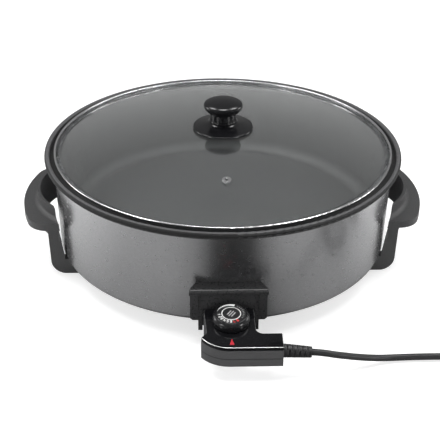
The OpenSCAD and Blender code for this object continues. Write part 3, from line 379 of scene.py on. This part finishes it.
# Rounded edges on the pieces that show, as modifiers over the unchanged solids
EDGES = {
    "left_handle": 0.0014, "right_handle": 0.0014, "socket_guard": 0.0009, "plug_cover": 0.0020,
    "plug_housing": 0.0004, "plug_base": 0.0012, "knob_disc": 0.0008, "dial_knob": 0.0005,
    "coil_tie": 0.0002, "mains_plug": 0.0006, "mains_pins": 0.0003, "vent_eyelet": 0.0002,
    "strain_relief": 0.0003, "pilot_lens": 0.0003, "center_nut": 0.0003, "terminal_block": 0.0005,
}
WELD, FLAT, SHARP, BEVEL_STEPS = 1e-6, math.radians(0.4), math.radians(32), 3
for name, width in EDGES.items():
    node = nodes[name]
    for p in node.data.polygons:
        p.use_smooth = True
    weld = node.modifiers.new("weld", "WELD")
    weld.merge_threshold = WELD
    flat = node.modifiers.new("flat", "DECIMATE")
    flat.decimate_type = "DISSOLVE"
    flat.angle_limit = FLAT
    round_off = node.modifiers.new("round", "BEVEL")
    round_off.width = width
    round_off.segments = BEVEL_STEPS
    round_off.limit_method = "ANGLE"
    round_off.angle_limit = SHARP
    round_off.harden_normals = False
    even = node.modifiers.new("even", "WEIGHTED_NORMAL")
    even.keep_sharp = True

# Print on the dial's sloping face
TILT, FACE_H, PRINT_H = math.radians(5.5), 0.00995, 0.00004
ARC_STEP = 5
dial_frame = (Matrix.Translation(dial_at) @ Matrix.Rotation(TILT, 4, "X")
              @ Matrix.Translation((0, 0, FACE_H)))


def printed(name, verts, faces, look_name):
    """A printed mesh on the dial, which the pan's wall doesn't reflect."""
    obj = new_object(name, [dial_frame @ Vector(v) for v in verts], faces, "dial")
    obj.data.materials.append(shades[look_name].material)
    obj.visible_glossy = False


def band(name, r0, r1, a0, a1, look_name, taper=False):
    """A printed arc between two radii, in degrees counted from the dial's right."""
    steps = max(int(abs(a1 - a0) / ARC_STEP), 2)
    verts, faces = [], []
    for k in range(steps + 1):
        t = k / steps
        a = math.radians(a0 + (a1 - a0) * t)
        low = r0 + (r1 - r0) * (1 - t) if taper else r0
        for r in (low, r1):
            verts.append((r * math.cos(a), r * math.sin(a), PRINT_H))
        if k:
            faces.append((2 * k - 2, 2 * k - 1, 2 * k + 1, 2 * k))
    printed(name, verts, faces, look_name)


def strokes(name, lines, width, look_name):
    """Printed straight strokes, each from one point to another."""
    verts, faces = [], []
    for x0, y0, x1, y1 in lines:
        way = Vector((x1 - x0, y1 - y0, 0)).normalized()
        side = Vector((-way.y, way.x, 0)) * width / 2
        a, b = Vector((x0, y0, PRINT_H)), Vector((x1, y1, PRINT_H))
        n = len(verts)
        verts += [a - side, b - side, b + side, a + side]
        faces.append((n, n + 1, n + 2, n + 3))
    printed(name, verts, faces, look_name)


SEGMENTS = {"a": (0, 2, 1, 2), "b": (1, 1, 1, 2), "c": (1, 0, 1, 1), "d": (0, 0, 1, 0),
            "e": (0, 0, 0, 1), "f": (0, 1, 0, 2), "g": (0, 1, 1, 1)}
DIGITS = {"1": "bc", "2": "abged", "3": "abgcd", "4": "fgbc", "5": "afgcd", "6": "afgedc",
          "7": "abc", "8": "abcdefg"}
NUMBER_R, NUMBER_H = 0.0124, 0.0029


def number_lines(digits, first, step):
    """Strokes of numbers set round the dial, with their feet towards the middle."""
    lines = []
    for k, digit in enumerate(digits):
        a = math.radians(first + step * k)
        out, along = Vector((math.cos(a), math.sin(a))), Vector((math.sin(a), -math.cos(a)))
        for s in DIGITS[digit]:
            x0, y0, x1, y1 = SEGMENTS[s]
            ends = []
            for x, y in ((x0, y0), (x1, y1)):
                p = (out * (NUMBER_R + (y - 1) * NUMBER_H / 2)
                     + along * (x * NUMBER_H / 2 - NUMBER_H / 4))
                ends += [p.x, p.y]
            lines.append(ends)
    return lines


CRESCENT = dict(r0=0.0114, r1=0.0146, a0=167, a1=73, taper=True)
RING = dict(r0=0.0091, r1=0.01, a0=0, a1=360)
NUMBERS, NUMBERS_FROM, NUMBERS_STEP, NUMBERS_W = "123456", 189, 15.5, 0.0008
HIGH, HIGH_FROM, HIGH_STEP, HIGH_W = "78", 283, 16, 0.0007
TICKS, TICK_FROM, TICK_STEP, TICK_R0, TICK_R1, TICK_W = 9, -30, 11, 0.0118, 0.0136, 0.0006
ROW_SLOPE, ROW_HALF, ROW_SHORTER = math.radians(55), 0.0046, 0.0008
ROW_PITCH, ROW_W = 0.0026, 0.0012
band("print_crescent", look_name="white_print", **CRESCENT)
band("print_ring", look_name="white_print", **RING)
numbers = number_lines(NUMBERS, NUMBERS_FROM, NUMBERS_STEP)
strokes("print_numbers", numbers, NUMBERS_W, "white_print")
high_numbers = number_lines(HIGH, HIGH_FROM, HIGH_STEP)
strokes("print_high_numbers", high_numbers, HIGH_W, "red_print")
ticks = []
for k in range(TICKS):
    a = math.radians(TICK_FROM + k * TICK_STEP)
    ticks.append((TICK_R0 * math.cos(a), TICK_R0 * math.sin(a),
                  TICK_R1 * math.cos(a), TICK_R1 * math.sin(a)))
strokes("print_ticks", ticks, TICK_W, "grey_print")
rows = []
for k in (-1, 0, 1):
    half = ROW_HALF - ROW_SHORTER * abs(k)
    dx, dy = half * math.cos(ROW_SLOPE), half * math.sin(ROW_SLOPE)
    mx, my = -ROW_PITCH * k * math.sin(ROW_SLOPE), ROW_PITCH * k * math.cos(ROW_SLOPE)
    rows.append((mx - dx, my - dy, mx + dx, my + dy))
strokes("print_middle", rows, ROW_W, "grey_print")

# Floor: pale to the eye, and in reflections darker on the camera's side, as the pan's wall shows
FLOOR_HALF, FLOOR_DROP = 6, 0.0002
FLOOR_COLOR, BOUNCE_COLOR = (0.62, 0.62, 0.62, 1), (0.78, 0.78, 0.78, 1)
WHITE = (1, 1, 1, 1)
FLOOR_SLANT = 0.06
FLOOR_TONES = ((0.0, 0.03), (0.05, 0.05), (0.09, 0.25), (0.144, 0.36), (0.28, 0.43), (0.43, 0.7),
               (0.6, 0.95), (1.0, 0.6))
# distances from the pan, with the tone at each end; close to the pan the floor as reflected is painted darker, a
# painted shade
NEAR_PAINTED_SHADE = dict(low=0.2, high=0.5, at_low=0.85, at_high=0.94)
FADE = dict(low=0.6, high=1.9, at_low=0.62, at_high=1.0)
floor_mesh = bpy.data.meshes.new("floor")
corners = [(x * FLOOR_HALF, y * FLOOR_HALF, 0) for x, y in ((-1, -1), (1, -1), (1, 1), (-1, 1))]
floor_mesh.from_pydata(corners, [], [(0, 1, 2, 3)])
floor = bpy.data.objects.new("floor", floor_mesh)
floor.location.z = -FLOOR_DROP
scene.collection.objects.link(floor)
paint = bpy.data.materials.new("floor_paint")
tree = Tree(paint)
floor_place = tree.add("NewGeometry").outputs["Position"]
floor_x, floor_y, _ = tree.axes(floor_place)
aside = tree.calc("ABSOLUTE", tree.calc("MULTIPLY_ADD", floor_y, FLOOR_SLANT, floor_x))
toward = tree.calc("MULTIPLY", floor_y, -1)
round_pan = tree.calc("DIVIDE", tree.calc("ARCTAN2", aside, toward), math.pi)
from_pan = tree.measure("LENGTH", floor_place)
near_painted_shade = tree.spread(from_pan, **NEAR_PAINTED_SHADE)
# painted shade: the reflected floor's tone is scaled darker close to the pan
reflected = tree.add("BsdfDiffuse", tree.scaled(tree.greys(round_pan, FLOOR_TONES), near_painted_shade))
bounced = tree.add("BsdfDiffuse", BOUNCE_COLOR)
diffuse_ray = tree.add("LightPath").outputs["Is Diffuse Ray"]
others = tree.choose(diffuse_ray, reflected.outputs[0], bounced.outputs[0])
# to the eye it fades to white far off
glow = tree.add("Emission", WHITE, tree.spread(from_pan, **FADE))
lit = tree.add("AddShader", tree.add("BsdfDiffuse", FLOOR_COLOR).outputs[0], glow.outputs[0])
tree.add("OutputMaterial", tree.seen_as(others, lit.outputs[0]))
floor_mesh.materials.append(paint)

# Surroundings: white to the eye, a grey studio to all else
STUDIO_TONES, STUDIO_LIGHT = ((0.0, 0.3), (0.3, 0.4), (0.62, 0.4), (1.0, 0.33)), 0.75
scene.world = bpy.data.worlds.new("surroundings")
tree = Tree(scene.world)
northward = tree.axes(tree.add("TexCoord").outputs["Generated"])[1]
studio_tone = tree.greys(tree.spread(northward, -1, 1), STUDIO_TONES)
studio = tree.add("Background", studio_tone, STUDIO_LIGHT)
white = tree.add("Background", WHITE)
tree.add("OutputWorld", tree.seen_as(studio.outputs[0], white.outputs[0]))

# Lamps: name, place, aim, size and watts
LAMPS = (
    ("over_left", (-0.85, 0.2, 1.45), (0, 0, 0.08), (0.9, 1.0), 9.5),
    ("over_right", (0.85, 0.2, 1.45), (0, 0, 0.08), (0.9, 1.0), 8.5),
    ("overhead", (0.0, -0.25, 1.5), (0, -0.2, 0.05), (1.1, 0.4), 8),
    ("left_strip", (-1.2, 0.25, 0.4), (0, 0, 0.06), (0.6, 0.7), 3),
    ("right_strip", (1.2, 0.25, 0.4), (0, 0, 0.06), (0.6, 0.7), 2.6),
    ("left_lamp", (-1.0, -0.85, 0.45), (0, 0, 0.06), (0.35, 0.55), 3),
    ("right_lamp", (1.0, -0.85, 0.45), (0, 0, 0.06), (0.35, 0.55), 3),
)
FRONT_FILL = ("front_fill", (0, -1.5, 0.5), (0, 0, 0.06), (0.9, 0.6), 4)
# a lamp fades from its middle to its edge, and the gain makes up for the light lost
LAMP_MIDDLE, FADE_FROM, FADE_TO, FADE_GAIN = (0.5, 0.5, 0), 0.1, 0.5, 2.6


def lamp(name, at, aim, size, power):
    """A soft lamp with a faint reflection on the glass."""
    data = bpy.data.lights.new(name, "AREA")
    data.shape = "ELLIPSE"
    data.size, data.size_y = size
    data.energy = power * FADE_GAIN
    tree = Tree(data)
    across = tree.add("NewGeometry").outputs["Parametric"]
    strength = tree.spread(tree.measure("DISTANCE", across, LAMP_MIDDLE), FADE_FROM, FADE_TO,
                           1.0, 0.0, interpolation_type="SMOOTHSTEP")
    tree.add("OutputLight", tree.add("Emission", WHITE, strength).outputs[0])
    obj = bpy.data.objects.new(name, data)
    obj.location = at
    obj.rotation_mode = "QUATERNION"
    obj.rotation_quaternion = (Vector(aim) - Vector(at)).to_track_quat("-Z", "Y")
    obj.visible_transmission = False
    scene.collection.objects.link(obj)
    return obj


for row in LAMPS:
    lamp(*row)
# the front lamp leaves no highlight
lamp(*FRONT_FILL).visible_glossy = False
